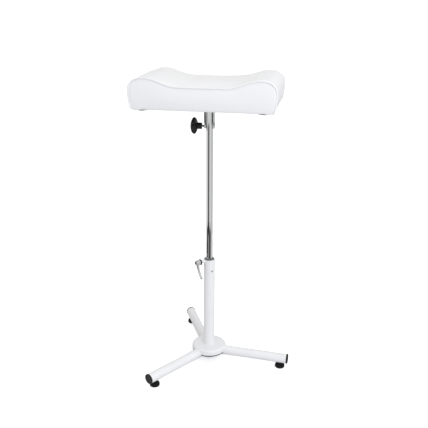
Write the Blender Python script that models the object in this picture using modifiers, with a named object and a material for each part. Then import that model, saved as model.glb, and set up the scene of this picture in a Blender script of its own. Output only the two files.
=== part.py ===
"""Pedicure footrest: a padded rest that tilts on a chrome post, which slides in a column on three legs.

Metres, +Z up. The cushion's long side lies along X and its front faces -Y. The origin is on the floor,
in the middle of the plan box. The column stands on its own axis, which every piece below is placed from.
"""

from math import acos, asin, atan2, cos, hypot, pi, radians, sin, sqrt

import bmesh
import bpy

# Clearances
GAP = 0.0003
SLIDE_FIT = 0.0003
STOP_GAP = 0.0005

# Place of the column's axis in the plan
COLUMN_X = -0.028
COLUMN_Y = -0.008

# Legs and feet
LEG_COUNT = 3
LEG_TURN = radians(236)
LEG_OD = 0.028
LEG_WALL = 0.0015
LEG_AXIS_Z = 0.029
LEG_REACH = 0.240
CAP_LENGTH = 0.016
CAP_HEAD = 0.004
CAP_LIP = 0.0006
FOOT_INSET = 0.023
FOOT_OD = 0.028
FOOT_DISC = 0.009
FOOT_NECK_OD = 0.015
FOOT_STEM_OD = 0.008
FOOT_STEM = 0.007

# Hub
HUB_OD = 0.101
HUB_CORE_OD = 0.062
HUB_COVER = 0.0027
HUB_RIM = 0.016
HUB_ROUNDING = 0.007
HUB_FLOOR = 0.0045
LEG_SOCKET_INNER = 0.022
UNDERPLATE = 0.0022
UNDERPLATE_MARGIN = 0.0012

# Column
COLUMN_OD = 0.032
COLUMN_WALL = 0.002
COLUMN_TOP = 0.3225
FOOT_PLUG = 0.008
BOLT_OD = 0.008
BOLT_HEAD_OD = 0.0145
BOLT_HEAD = 0.0045
WASHER_OD = 0.024
WASHER = 0.0012
BUSH_SLEEVE = 0.0405
BUSH_FLANGE = 0.0012
BUSH_LAP = 0.0006
BUSH_SCREW_RISE = 0.007
BUSH_SCREW_TURN = radians(311)
BUSH_SCREW_OD = 0.0035
BUSH_SCREW_HEAD_OD = 0.0052
BUSH_SCREW_HEAD = 0.0012

# Clamp
CLAMP_DROP = 0.004
CLAMP_TURN = radians(222)
BOSS_OD = 0.010
BOSS = 0.0122
CLAMP_SCREW_OD = 0.005
PAD_OD = 0.005
PAD = 0.002
CLAMP_WASHER_OD = 0.018
CLAMP_WASHER = 0.0025
BARREL_OD = 0.0165
BARREL_TIP_OD = 0.0135
BARREL = 0.014
LEVER_ARM = 0.0495
LEVER_LEAN = radians(28)
LEVER_ROOT_OD = 0.0095
LEVER_NECK_OD = 0.0062
LEVER_BALL_OD = 0.0076
LEVER_NECK_FROM = 0.5
LEVER_NECK_TO = 0.75

# Post
POST_OD = 0.018
POST_WALL = 0.0015
POST_CLEAR = 0.0105
GUIDE = 0.009
GUIDE_LIP = 0.003
GUIDE_LIP_OD = 0.012
END_PLUG = 0.018
END_FLANGE = 0.0025
END_FLANGE_OD = 0.017
TOP_CAP = 0.012
TOP_CAP_HEAD = 0.002

# Tilting head
TILT_Z = 0.708
EAR_SHEET = 0.003
EAR_SIDE_GAP = 0.0005
EAR_WIDTH = 0.027
EAR_TAPER_RISE = 0.0145
EAR_TAB_OD = 0.0126
PLATE_LENGTH = 0.090
PLATE_ROUNDING = 0.006
SCREW_END_INSET = 0.012
SCREW_SIDE_INSET = 0.005
SCREW_OD = 0.0045
SCREW_HEAD_OD = 0.0085
SCREW_HEAD = 0.0022
SCREW_BITE = 0.010
SCREW_CROWN = 0.7
STUD_OD = 0.006
KNOB_SHANK_GAP = 0.009
KNOB_HUB_OD = 0.0173
KNOB_HUB = 0.0125
KNOB_OD = 0.045
KNOB_BACK_OD = 0.039
KNOB_FLARE = 0.004
KNOB_RIM = 0.004
KNOB_DOME = 0.0095
KNOB_LOBES = 8
KNOB_LOBE_DEPTH = 0.002
KNOB_STUD_BITE = 0.012
TILT_WASHER_OD = 0.0135
TILT_WASHER = 0.0012

# Cushion
HEAD_RISE = 0.0583
CUSHION_WIDTH = 0.370
CUSHION_DEPTH = 0.240
CREST = 0.0792
CREST_X = 0.150
DIP = 0.058
DIP_FLAT = 0.058
TOP_CROWN = 0.0095
CREST_CROWN = 0.002
SHOULDER = 0.027
LOWER_RISE = 0.034
LOWER_INSET = 0.0105
LOWER_CURVE = 3.4
PANEL_CROWN = 0.006
EDGE_ROUND = 0.004
SMOOTH_BELOW = radians(60)
CUSHION_SPANS = 10
SHOULDER_STEPS = 6
BOARD = 0.012
BOARD_MARGIN = 0.020
BOARD_CORNER = 0.012
LINING = 0.001
LINING_LAP = 0.002

# Heights and radii that follow from the sizes above
leg_radius = LEG_OD / 2
foot_radius = LEG_REACH - FOOT_INSET
hub_top = LEG_AXIS_Z + leg_radius + GAP + HUB_COVER
hub_rim_z = hub_top - HUB_RIM
hub_bottom = LEG_AXIS_Z - leg_radius - GAP - HUB_COVER
column_radius = COLUMN_OD / 2
column_bore = column_radius - COLUMN_WALL
column_foot = hub_bottom + HUB_FLOOR + GAP
column_floor = column_foot + FOOT_PLUG
bush_bottom = COLUMN_TOP - BUSH_SLEEVE
bush_screw_z = bush_bottom + BUSH_SCREW_RISE
clamp_z = COLUMN_TOP - CLAMP_DROP
boss_end = column_radius + BOSS
clamp_washer_low = boss_end + GAP
clamp_washer_high = clamp_washer_low + CLAMP_WASHER
clamp_face = clamp_washer_high + GAP
post_radius = POST_OD / 2
post_bore = post_radius - POST_WALL
guide_top = bush_bottom - STOP_GAP
guide_bottom = guide_top - GUIDE
post_foot = guide_bottom + GUIDE_LIP + GAP
cushion_base = TILT_Z + HEAD_RISE
lining_top = cushion_base - GAP
plate_top = lining_top - LINING - GAP
plate_bottom = plate_top - EAR_SHEET
post_top = plate_bottom - POST_CLEAR
ear_inner = post_radius + EAR_SIDE_GAP
ear_outer = ear_inner + EAR_SHEET
board_top = cushion_base + BOARD


def clear_scene():
    for thing in list(bpy.data.objects):
        bpy.data.objects.remove(thing, do_unlink=True)


clear_scene()
parts = bpy.data.collections.new("pedicure_footrest")
cutters = bpy.data.collections.new("cutters")
bpy.context.scene.collection.children.link(parts)
bpy.context.scene.collection.children.link(cutters)
cutters.hide_render = True


# Materials

def finish(name, colour, roughness, metallic):
    """A plain Principled BSDF finish."""
    material = bpy.data.materials.new(name)
    material.use_nodes = True
    shader = material.node_tree.nodes["Principled BSDF"]
    shader.inputs["Base Color"].default_value = (*colour, 1.0)
    shader.inputs["Roughness"].default_value = roughness
    shader.inputs["Metallic"].default_value = metallic
    return material


WHITE_PAINT = finish("white_powder_coat", (0.86, 0.86, 0.87), 0.35, 0.0)
CHROME = finish("chrome", (0.78, 0.79, 0.81), 0.08, 1.0)
STEEL = finish("zinc_plated_steel", (0.62, 0.63, 0.65), 0.3, 1.0)
BLACK_PLASTIC = finish("black_plastic", (0.02, 0.02, 0.022), 0.45, 0.0)
GREY_PLASTIC = finish("dark_grey_plastic", (0.09, 0.09, 0.095), 0.5, 0.0)
RUBBER = finish("black_rubber", (0.025, 0.025, 0.025), 0.75, 0.0)
NYLON = finish("natural_nylon", (0.78, 0.77, 0.72), 0.5, 0.0)
BRASS = finish("brass", (0.72, 0.56, 0.28), 0.3, 1.0)
PLYWOOD = finish("plywood", (0.62, 0.47, 0.3), 0.7, 0.0)
LINING_CLOTH = finish("black_lining", (0.03, 0.03, 0.03), 0.9, 0.0)
WHITE_LEATHER = finish("white_artificial_leather", (0.88, 0.88, 0.87), 0.45, 0.0)


# Objects, frames and cuts

def axis_frame(name, parent, location, rotation=(0, 0, 0)):
    """An empty that holds an axis: its local Z is the axis of what is parented to it."""
    frame = bpy.data.objects.new(name, None)
    frame.empty_display_size = 0.02
    frame.parent = parent
    frame.location = location
    frame.rotation_euler = rotation
    parts.objects.link(frame)
    return frame


def place(name, mesh, parent, material=None, location=(0, 0, 0), rotation=(0, 0, 0)):
    """A part in the object's collection, or a hidden cutter where it has no material."""
    thing = bpy.data.objects.new(name, mesh)
    thing.parent = parent
    thing.location = location
    thing.rotation_euler = rotation
    if material:
        mesh.materials.append(material)
        parts.objects.link(thing)
    else:
        thing.hide_render = True
        thing.display_type = "WIRE"
        cutters.objects.link(thing)
    return thing


def mesh_from(build):
    """A mesh from a bmesh, with its faces turned outwards."""
    mesh = bpy.data.meshes.new("shape")
    bmesh.ops.recalc_face_normals(build, faces=build.faces)
    build.to_mesh(mesh)
    build.free()
    return mesh


def rod_mesh(radius, low, high, sides=32):
    """A round rod along local Z, from low to high."""
    build = bmesh.new()
    bmesh.ops.create_cone(
        build, cap_ends=True, segments=sides, radius1=radius, radius2=radius, depth=high - low
    )
    bmesh.ops.translate(build, verts=build.verts, vec=(0, 0, (low + high) / 2))
    return mesh_from(build)


def turned(name, profile, parent, material=None, steps=28, closed=False, **where):
    """A profile of (radius, height) points, top to bottom on its outer side, turned about local Z."""
    mesh = bpy.data.meshes.new("profile")
    points = [(radius, 0, height) for radius, height in profile]
    edges = [(i, i + 1) for i in range(len(points) - 1)]
    if closed:
        edges.append((len(points) - 1, 0))
    mesh.from_pydata(points, edges, [])
    thing = place(name, mesh, parent, material, **where)
    screw = thing.modifiers.new("turn", "SCREW")
    screw.axis = "Z"
    screw.steps = steps
    screw.render_steps = steps
    screw.use_merge_vertices = True
    screw.merge_threshold = 0.00001
    screw.use_smooth_shade = True
    return thing


def tube(name, outer, inner, low, high, parent, material, steps=28, **where):
    """A plain tube about local Z."""
    profile = [(outer, high), (outer, low), (inner, low), (inner, high)]
    return turned(name, profile, parent, material, steps, closed=True, **where)


def arc(centre, radius, start, end, steps):
    """Points of an arc in a profile plane, angles from the first axis."""
    turn = (end - start) / steps
    return [
        (centre[0] + radius * cos(start + turn * i), centre[1] + radius * sin(start + turn * i))
        for i in range(steps + 1)
    ]


def cut(thing, cutter):
    boolean = thing.modifiers.new("cut_" + cutter.name, "BOOLEAN")
    boolean.operation = "DIFFERENCE"
    boolean.solver = "EXACT"
    boolean.object = cutter


def join(thing, other):
    boolean = thing.modifiers.new("join_" + other.name, "BOOLEAN")
    boolean.operation = "UNION"
    boolean.solver = "EXACT"
    boolean.object = other


def flat_outline(name, points, thickness, parent, material=None, **where):
    """A 2D outline filled and extruded about its plane, made a mesh so that it can be cut."""
    curve = bpy.data.curves.new(name, "CURVE")
    curve.dimensions = "2D"
    curve.fill_mode = "BOTH"
    curve.extrude = thickness / 2
    spline = curve.splines.new("POLY")
    spline.points.add(len(points) - 1)
    for point, (x, y) in zip(spline.points, points):
        point.co = (x, y, 0, 1)
    spline.use_cyclic_u = True
    holder = bpy.data.objects.new("outline", curve)
    bpy.context.scene.collection.objects.link(holder)
    bpy.context.view_layer.update()
    graph = bpy.context.evaluated_depsgraph_get()
    mesh = bpy.data.meshes.new_from_object(holder.evaluated_get(graph))
    bpy.data.objects.remove(holder, do_unlink=True)
    build = bmesh.new()
    build.from_mesh(mesh)
    bmesh.ops.remove_doubles(build, verts=build.verts, dist=0.00001)
    bmesh.ops.recalc_face_normals(build, faces=build.faces)
    build.to_mesh(mesh)
    build.free()
    return place(name, mesh, parent, material, **where)


def rounded_rectangle(length, width, corner, steps=4):
    """Outline points of a rectangle with round corners, centred on the origin."""
    points = []
    for turn, (side_x, side_y) in enumerate(((1, 1), (-1, 1), (-1, -1), (1, -1))):
        centre = (side_x * (length / 2 - corner), side_y * (width / 2 - corner))
        points += arc(centre, corner, turn * pi / 2, (turn + 1) * pi / 2, steps)
    return points


# Frames of the moving pieces

column_axis = axis_frame("column_axis", None, (COLUMN_X, COLUMN_Y, 0))
post_axis = axis_frame("post_axis", column_axis, (0, 0, 0))
tilt_axis = axis_frame("tilt_axis", post_axis, (0, 0, TILT_Z))
knob_axis = axis_frame("knob_axis", tilt_axis, (0, 0, 0), (0, -pi / 2, 0))
clamp_axis = axis_frame("clamp_axis", column_axis, (0, 0, clamp_z), (0, pi / 2, CLAMP_TURN))


def leg_angle(index):
    return LEG_TURN + 2 * pi * index / LEG_COUNT


# Hub: a turned body with a wide rounded rim over a narrower core

def make_hub():
    rim = HUB_OD / 2
    core = HUB_CORE_OD / 2
    seat = column_radius + SLIDE_FIT
    seat_floor = hub_bottom + HUB_FLOOR
    shoulder = arc((rim - HUB_ROUNDING, hub_top - HUB_ROUNDING), HUB_ROUNDING, pi / 2, 0, 5)
    profile = [(seat, hub_top), *shoulder, (rim, hub_rim_z), (core, hub_rim_z), (core, hub_bottom)]
    bolt_hole = BOLT_OD / 2 + GAP
    profile += [(bolt_hole, hub_bottom), (bolt_hole, seat_floor), (seat, seat_floor)]
    hub = turned("hub", profile, column_axis, WHITE_PAINT, steps=40, closed=True)
    for index in range(LEG_COUNT):
        mesh = rod_mesh(leg_radius + GAP, LEG_SOCKET_INNER, HUB_OD, sides=28)
        turn = (0, pi / 2, leg_angle(index))
        cut(hub, place(f"leg_socket_{index + 1}", mesh, column_axis, None, (0, 0, LEG_AXIS_Z), turn))


def make_underplates():
    """Black plates between the legs, a sector each, against the hub's underside."""
    outer = HUB_OD / 2 - GAP
    inner = HUB_CORE_OD / 2 + GAP
    half_leg = leg_radius + UNDERPLATE_MARGIN
    middle_z = hub_rim_z - GAP - UNDERPLATE / 2
    for index in range(LEG_COUNT):
        start = leg_angle(index)
        end = leg_angle(index + 1)
        outline = arc((0, 0), outer, start + asin(half_leg / outer), end - asin(half_leg / outer), 16)
        outline += arc((0, 0), inner, end - asin(half_leg / inner), start + asin(half_leg / inner), 10)
        flat_outline(
            f"hub_underplate_{index + 1}", outline, UNDERPLATE, column_axis, BLACK_PLASTIC,
            location=(0, 0, middle_z),
        )


# Legs: tubes with plugged ends, and feet pushed in from below

def make_leg(index):
    number = index + 1
    axis = axis_frame(f"leg_axis_{number}", column_axis, (0, 0, LEG_AXIS_Z), (0, pi / 2, leg_angle(index)))
    bore = leg_radius - LEG_WALL
    outer_end = LEG_REACH - CAP_HEAD - GAP
    leg = tube(
        f"leg_{number}", leg_radius, bore, LEG_SOCKET_INNER + GAP, outer_end, axis, WHITE_PAINT, steps=28
    )
    cap_radius = leg_radius + CAP_LIP
    crown = arc((cap_radius - CAP_HEAD / 2, LEG_REACH - CAP_HEAD / 2), CAP_HEAD / 2, pi / 2, 0, 3)
    plug = bore - SLIDE_FIT
    profile = [(0, LEG_REACH), *crown, (cap_radius, LEG_REACH - CAP_HEAD), (plug, LEG_REACH - CAP_HEAD)]
    profile += [(plug, LEG_REACH - CAP_LENGTH), (0, LEG_REACH - CAP_LENGTH)]
    turned(f"leg_cap_{number}", profile, axis, BLACK_PLASTIC, steps=28)
    foot_axis = axis_frame(
        f"foot_axis_{number}", column_axis,
        (foot_radius * cos(leg_angle(index)), foot_radius * sin(leg_angle(index)), 0),
    )
    make_foot(number, foot_axis)
    hole = rod_mesh(FOOT_STEM_OD / 2 + GAP, 0, LEG_AXIS_Z, sides=24)
    cut(leg, place(f"foot_hole_{number}", hole, foot_axis))


def make_foot(number, axis):
    """A disc foot: rounded pad, neck up to the leg's underside, stem inside the leg."""
    pad = FOOT_OD / 2
    neck = FOOT_NECK_OD / 2
    stem = FOOT_STEM_OD / 2
    edge = FOOT_DISC / 4
    leg_drop = leg_radius - sqrt(leg_radius**2 - neck**2)
    neck_top = LEG_AXIS_Z - leg_radius - GAP
    stem_top = neck_top + leg_drop + FOOT_STEM
    profile = [(0, stem_top), (stem, stem_top), (stem, neck_top), (neck, neck_top), (neck, FOOT_DISC)]
    profile += arc((pad - edge, FOOT_DISC - edge), edge, pi / 2, 0, 2)
    profile += arc((pad - edge, edge), edge, 0, -pi / 2, 2)
    profile += [(0, 0)]
    turned(f"foot_{number}", profile, axis, RUBBER, steps=24)


# Column: tube with a bolted foot, a guide bush at its rim and the clamp's boss

def make_column():
    column = tube(
        "column_tube", column_radius, column_bore, column_foot, COLUMN_TOP, column_axis, WHITE_PAINT, steps=40
    )
    tap = BOLT_OD / 2 + GAP
    tube(
        "column_foot_plug", column_bore - SLIDE_FIT, tap, column_foot, column_floor, column_axis, STEEL
    )
    washer_top = hub_bottom - GAP
    washer_bottom = washer_top - WASHER
    tube("column_washer", WASHER_OD / 2, tap, washer_bottom, washer_top, column_axis, STEEL)
    head_top = washer_bottom - GAP
    head = BOLT_HEAD_OD / 2
    shank = BOLT_OD / 2
    edge = BOLT_HEAD / 4
    profile = [(0, column_floor), (shank, column_floor), (shank, head_top), (head, head_top)]
    profile += [(head, head_top - BOLT_HEAD + edge), (head - edge, head_top - BOLT_HEAD)]
    profile += [(0, head_top - BOLT_HEAD)]
    turned("column_bolt", profile, column_axis, STEEL, steps=24)

    sleeve = column_bore - SLIDE_FIT
    inside = post_radius + SLIDE_FIT
    flange = column_bore + BUSH_LAP
    flange_bottom = COLUMN_TOP + GAP
    flange_top = flange_bottom + BUSH_FLANGE
    edge = BUSH_FLANGE / 3
    profile = [(inside, flange_top), (flange - edge, flange_top), (flange, flange_top - edge)]
    profile += [(flange, flange_bottom), (sleeve, flange_bottom)]
    profile += [(sleeve, bush_bottom), (inside, bush_bottom)]
    bush = turned("column_bush", profile, column_axis, GREY_PLASTIC, steps=40, closed=True)

    screw_axis = axis_frame(
        "bush_screw_axis", column_axis, (0, 0, bush_screw_z), (0, pi / 2, BUSH_SCREW_TURN)
    )
    make_bush_screw(screw_axis)
    hole = rod_mesh(BUSH_SCREW_OD / 2 + GAP, 0, COLUMN_OD, sides=20)
    hole = place("bush_screw_hole", hole, screw_axis)
    cut(column, hole)
    cut(bush, hole)

    stud_hole = rod_mesh(CLAMP_SCREW_OD / 2 + GAP, 0, COLUMN_OD, sides=24)
    stud_hole = place("clamp_hole", stud_hole, clamp_axis)
    cut(column, stud_hole)
    cut(bush, stud_hole)


def make_bush_screw(axis):
    """A pan-head screw through the tube wall into the bush, short of the post."""
    shank = BUSH_SCREW_OD / 2
    head = BUSH_SCREW_HEAD_OD / 2
    head_low = column_radius + GAP
    head_high = head_low + BUSH_SCREW_HEAD
    tip = post_radius + SLIDE_FIT + STOP_GAP
    profile = [(0, head_high), (head * SCREW_CROWN, head_high), (head, head_low + BUSH_SCREW_HEAD / 3)]
    profile += [(head, head_low), (shank, head_low), (shank, tip), (0, tip)]
    turned("bush_screw", profile, axis, STEEL, steps=24)


def make_clamp():
    """Boss welded to the column, threaded screw with a pad on the post, washer, and the lever on its end."""
    hole = CLAMP_SCREW_OD / 2 + GAP
    inner_end = column_radius - COLUMN_WALL
    boss = tube("clamp_boss", BOSS_OD / 2, hole, inner_end, boss_end, clamp_axis, WHITE_PAINT, steps=24)
    saddle = rod_mesh(column_radius + GAP, -BOSS_OD, BOSS_OD, sides=96)
    cut(boss, place("boss_saddle", saddle, clamp_axis, None, (0, 0, 0), (0, -pi / 2, 0)))

    pad_low = post_radius + GAP
    pad_high = pad_low + PAD
    tube_pad = [(0, pad_high), (PAD_OD / 2, pad_high), (PAD_OD / 2, pad_low), (0, pad_low)]
    pad = turned("clamp_pad", tube_pad, clamp_axis, BRASS, steps=24)
    post_saddle = rod_mesh(post_radius + GAP, -BOSS_OD, BOSS_OD, sides=64)
    cut(pad, place("pad_saddle", post_saddle, clamp_axis, None, (0, 0, 0), (0, -pi / 2, 0)))

    shank = CLAMP_SCREW_OD / 2
    screw_low = pad_high + GAP
    screw_high = clamp_face + BARREL / 2
    rod = [(0, screw_high), (shank, screw_high), (shank, screw_low), (0, screw_low)]
    turned("clamp_screw", rod, clamp_axis, STEEL, steps=24)
    rim = CLAMP_WASHER_OD / 2
    tube("clamp_washer", rim, hole, clamp_washer_low, clamp_washer_high, clamp_axis, BLACK_PLASTIC, steps=32)
    make_lever(screw_high)


def make_lever(screw_high):
    """A cast lever: a tapered barrel on the clamp's axis and an arm with a round end, one casting."""
    root = BARREL_OD / 2
    tip = BARREL_TIP_OD / 2
    end = clamp_face + BARREL
    edge = BARREL / 12
    bore = CLAMP_SCREW_OD / 2 + GAP
    bore_end = screw_high + GAP
    profile = [(0, end), (tip - edge, end), (tip, end - edge), (root, clamp_face + BARREL / 3)]
    profile += [(root, clamp_face + edge), (root - edge, clamp_face)]
    profile += [(bore, clamp_face), (bore, bore_end), (0, bore_end)]
    lever = turned("clamp_lever", profile, clamp_axis, CHROME, steps=24)
    middle = clamp_face + BARREL / 2
    ball = LEVER_BALL_OD / 2
    neck = LEVER_NECK_OD / 2
    reach = LEVER_ARM - ball
    arm = arc((0, reach), ball, pi / 2, -pi / 4, 6)
    arm += [(neck, reach * LEVER_NECK_TO), (neck, reach * LEVER_NECK_FROM), (LEVER_ROOT_OD / 2, root)]
    start = bore + (root - bore) / 2
    arm += [(LEVER_ROOT_OD / 2, start), (0, start)]
    turn = (0, pi / 2, LEVER_LEAN)
    join(lever, turned("lever_arm", arm, clamp_axis, None, steps=16, location=(0, 0, middle), rotation=turn))


# Post: chrome tube, its running ring and plug below, its cap above

def make_post():
    post = tube("post_tube", post_radius, post_bore, post_foot, post_top, post_axis, CHROME, steps=40)
    hole = rod_mesh(STUD_OD / 2 + SLIDE_FIT, -POST_OD, POST_OD, sides=24)
    cut(post, place("stud_hole", hole, knob_axis))

    outer = column_bore - SLIDE_FIT
    wrap = post_radius + SLIDE_FIT
    lip = GUIDE_LIP_OD / 2
    lip_top = guide_bottom + GUIDE_LIP
    profile = [(wrap, guide_top), (outer, guide_top), (outer, guide_bottom), (lip, guide_bottom)]
    profile += [(lip, lip_top), (wrap, lip_top)]
    turned("post_guide", profile, post_axis, NYLON, closed=True)

    body = post_bore - SLIDE_FIT
    neck = lip - SLIDE_FIT
    flange = END_FLANGE_OD / 2
    flange_top = guide_bottom - GAP
    profile = [(0, post_foot + END_PLUG), (body, post_foot + END_PLUG), (body, post_foot)]
    profile += [(neck, post_foot), (neck, flange_top), (flange, flange_top)]
    profile += [(flange, flange_top - END_FLANGE), (0, flange_top - END_FLANGE)]
    turned("post_end_plug", profile, post_axis, STEEL, steps=24)

    cap_low = post_top + GAP
    cap_high = cap_low + TOP_CAP_HEAD
    edge = TOP_CAP_HEAD / 2
    profile = [(0, cap_high), (post_radius - edge, cap_high), (post_radius, cap_high - edge)]
    profile += [(post_radius, cap_low), (body, cap_low)]
    profile += [(body, cap_high - TOP_CAP), (0, cap_high - TOP_CAP)]
    turned("post_top_cap", profile, post_axis, BLACK_PLASTIC, steps=24)


# Tilting head: bent bracket, its screws, and the knob on its stud

def make_bracket():
    """A plate under the board with two ears down beside the post, drawn in to a round tab, one bent sheet."""
    plate = rounded_rectangle(PLATE_LENGTH, EAR_WIDTH, PLATE_ROUNDING)
    middle = (plate_top + plate_bottom) / 2 - TILT_Z
    bracket = flat_outline("tilt_bracket", plate, EAR_SHEET, tilt_axis, STEEL, location=(0, 0, middle))
    half = EAR_WIDTH / 2
    ear_top = plate_bottom - TILT_Z + EAR_SHEET / 2
    tab = EAR_TAB_OD / 2
    lean = pi - atan2(EAR_TAPER_RISE, half) + acos(tab / hypot(EAR_TAPER_RISE, half))
    outline = [(half, EAR_TAPER_RISE), (half, ear_top), (-half, ear_top), (-half, EAR_TAPER_RISE)]
    outline += arc((0, 0), tab, lean, 3 * pi - lean, 10)
    for side, name in ((-1, "left"), (1, "right")):
        offset = side * (ear_inner + EAR_SHEET / 2)
        ear = flat_outline(
            f"ear_{name}", outline, EAR_SHEET, tilt_axis, None,
            location=(offset, 0, 0), rotation=(pi / 2, 0, pi / 2),
        )
        join(bracket, ear)
    stud_hole = rod_mesh(STUD_OD / 2 + SLIDE_FIT, -2 * ear_outer, 2 * ear_outer, sides=24)
    cut(bracket, place("ear_hole", stud_hole, knob_axis))
    return bracket


def screw_places():
    along = PLATE_LENGTH / 2 - SCREW_END_INSET
    across = EAR_WIDTH / 2 - SCREW_SIDE_INSET
    return [(side_x * along, side_y * across) for side_x in (-1, 1) for side_y in (-1, 1)]


def make_bracket_screws(bracket, lining, board):
    """Pan-head screws up through the plate and the lining into the board."""
    shank = SCREW_OD / 2
    head = SCREW_HEAD_OD / 2
    head_top = plate_bottom - GAP
    head_bottom = head_top - SCREW_HEAD
    tip = cushion_base + SCREW_BITE
    profile = [(0, tip), (shank, tip - shank), (shank, head_top), (head, head_top)]
    profile += [(head, head_top - SCREW_HEAD / 2), (head * SCREW_CROWN, head_bottom), (0, head_bottom)]
    for index, (x, y) in enumerate(screw_places()):
        where = (x, y, -TILT_Z)
        turned(f"bracket_screw_{index + 1}", profile, tilt_axis, STEEL, steps=12, location=where)
        hole = rod_mesh(shank + GAP, plate_bottom - SCREW_HEAD, tip + GAP, sides=12)
        hole = place(f"screw_hole_{index + 1}", hole, tilt_axis, None, where)
        for thing in (bracket, lining, board):
            cut(thing, hole)


def make_knob():
    """Along the knob's axis, away from the left ear: washer, stud, knob. The stud ends in the right ear."""
    stud = STUD_OD / 2
    washer_low = ear_outer + GAP
    washer_high = washer_low + TILT_WASHER
    tube("tilt_washer", TILT_WASHER_OD / 2, stud + GAP, washer_low, washer_high, knob_axis, STEEL, steps=24)

    hub_low = ear_outer + KNOB_SHANK_GAP
    hub_high = hub_low + KNOB_HUB
    stud_high = hub_low + KNOB_STUD_BITE
    stud_low = -ear_outer
    rod = [(0, stud_high), (stud, stud_high), (stud, stud_low), (0, stud_low)]
    turned("tilt_stud", rod, knob_axis, STEEL, steps=24)

    rim = KNOB_OD / 2
    back = KNOB_BACK_OD / 2
    hub = KNOB_HUB_OD / 2
    rim_low = hub_high + KNOB_FLARE
    rim_high = rim_low + KNOB_RIM
    apex = rim_high + KNOB_DOME
    bore = stud + GAP
    bore_top = stud_high + GAP
    dome = [
        (rim * cos(turn), rim_high + KNOB_DOME * sin(turn))
        for turn in (pi / 2 * (1 - step / 6) for step in range(1, 7))
    ]
    flare = [
        (hub + (back - hub) * share, hub_high + KNOB_FLARE * share**2)
        for share in (1 - step / 4 for step in range(5))
    ]
    profile = [(0, apex), *dome, (rim, (rim_low + rim_high) / 2), *flare]
    profile += [(hub, hub_low), (bore, hub_low), (bore, bore_top), (0, bore_top)]
    knob = turned("tilt_knob", profile, knob_axis, BLACK_PLASTIC, steps=KNOB_LOBES * 4)
    groove = KNOB_OD / KNOB_LOBES
    centre = rim + groove - KNOB_LOBE_DEPTH
    for lobe in range(KNOB_LOBES):
        turn = 2 * pi * (lobe + 0.5) / KNOB_LOBES
        flute = rod_mesh(groove, hub_high, apex, sides=24)
        spot = (centre * cos(turn), centre * sin(turn), 0)
        cut(knob, place(f"knob_flute_{lobe + 1}", flute, knob_axis, None, spot))


# Cushion: board and lining below, and the padded form with two humps and a dip

def top_height(x):
    """Height of the top over the base: flat dip, smooth rise to the crest, round shoulder at the end."""
    beyond = max(abs(x) - CREST_X, 0) / (CUSHION_WIDTH / 2 - CREST_X)
    if beyond > 0:
        return CREST - SHOULDER * (1 - sqrt(max(1 - beyond**2, 0)))
    rise = min(max((abs(x) - DIP_FLAT) / (CREST_X - DIP_FLAT), 0), 1)
    return DIP + (CREST - DIP) * rise * rise * (3 - 2 * rise)


def base_height(x):
    """Height of the underside over the base: flat, and drawn in under each end."""
    beyond = max(abs(x) - (CUSHION_WIDTH / 2 - LOWER_INSET), 0) / LOWER_INSET
    return LOWER_RISE * beyond**LOWER_CURVE


def top_crown(x):
    """How far the top's middle line stands over its front and back edges, most in the dip."""
    beyond = max(abs(x) - CREST_X, 0) / (CUSHION_WIDTH / 2 - CREST_X)
    if beyond > 0:
        return CREST_CROWN * sqrt(max(1 - beyond**2, 0))
    rise = max(abs(x) - DIP_FLAT, 0) / (CREST_X - DIP_FLAT)
    return TOP_CROWN + (CREST_CROWN - TOP_CROWN) * rise


def section_places():
    """Places along X of the sections, from the middle to the right end, closest where the end is round."""
    half = CUSHION_WIDTH / 2
    places = [CREST_X * step / CUSHION_SPANS for step in range(CUSHION_SPANS)]
    turns = [pi / 2 * step / SHOULDER_STEPS for step in range(SHOULDER_STEPS + 1)]
    return places + [CREST_X + (half - CREST_X) * sin(turn) for turn in turns]


def cushion_section(x):
    """A closed section across the cushion at x: round edges, a crowned top, sides drawn in at both edges."""
    low = base_height(x)
    high = top_height(x)
    middle = (low + high) / 2
    half_height = (high - low) / 2
    edge = min(EDGE_ROUND, half_height / 2)
    side = CUSHION_DEPTH / 2 - PANEL_CROWN - edge
    points = []
    for turn, (side_y, side_z) in enumerate(((1, 1), (-1, 1), (-1, -1), (1, -1))):
        centre = (side_y * side, side_z * (half_height - edge))
        points += arc(centre, edge, turn * pi / 2, (turn + 1) * pi / 2, 2)
        if (side_y, side_z) == (1, 1):
            points += [(side * (1 - 2 * step / 6), half_height) for step in range(1, 6)]
        if side_y * side_z < 0:
            steps = [side_z * (half_height - edge) * (1 - 2 * step / 5) for step in range(1, 5)]
            points += [(side_y * (side + edge), height) for height in steps]
    crown = top_crown(x)
    section = []
    for y, height in points:
        across = y / (side + edge)
        swell = PANEL_CROWN * (1 - (height / half_height) ** 2) * across
        rise = crown * (1 - across**2) if height > half_height - edge else 0
        section.append((x, y + swell, middle + height + rise))
    return section


def make_cushion():
    """A loft of sections along X, closed by a flat face at each end, with a pocket below for the board."""
    right = section_places()
    places = [-x for x in reversed(right[1:])] + right
    build = bmesh.new()
    loops = [[build.verts.new(point) for point in cushion_section(x)] for x in places]
    count = len(loops[0])
    for first, second in zip(loops, loops[1:]):
        for i in range(count):
            j = (i + 1) % count
            build.faces.new((first[i], second[i], second[j], first[j]))
    build.faces.new(loops[0])
    build.faces.new(loops[-1])
    cushion = place(
        "cushion", mesh_from(build), tilt_axis, WHITE_LEATHER, (0, 0, HEAD_RISE)
    )
    cushion.data.shade_smooth()
    cushion.data.set_sharp_from_angle(angle=SMOOTH_BELOW)
    length = CUSHION_WIDTH - 2 * BOARD_MARGIN + 2 * GAP
    width = CUSHION_DEPTH - 2 * BOARD_MARGIN + 2 * GAP
    outline = rounded_rectangle(length, width, BOARD_CORNER + GAP)
    pocket = flat_outline(
        "board_pocket", outline, 2 * (BOARD + GAP), tilt_axis, None, location=(0, 0, HEAD_RISE)
    )
    cut(cushion, pocket)


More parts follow.
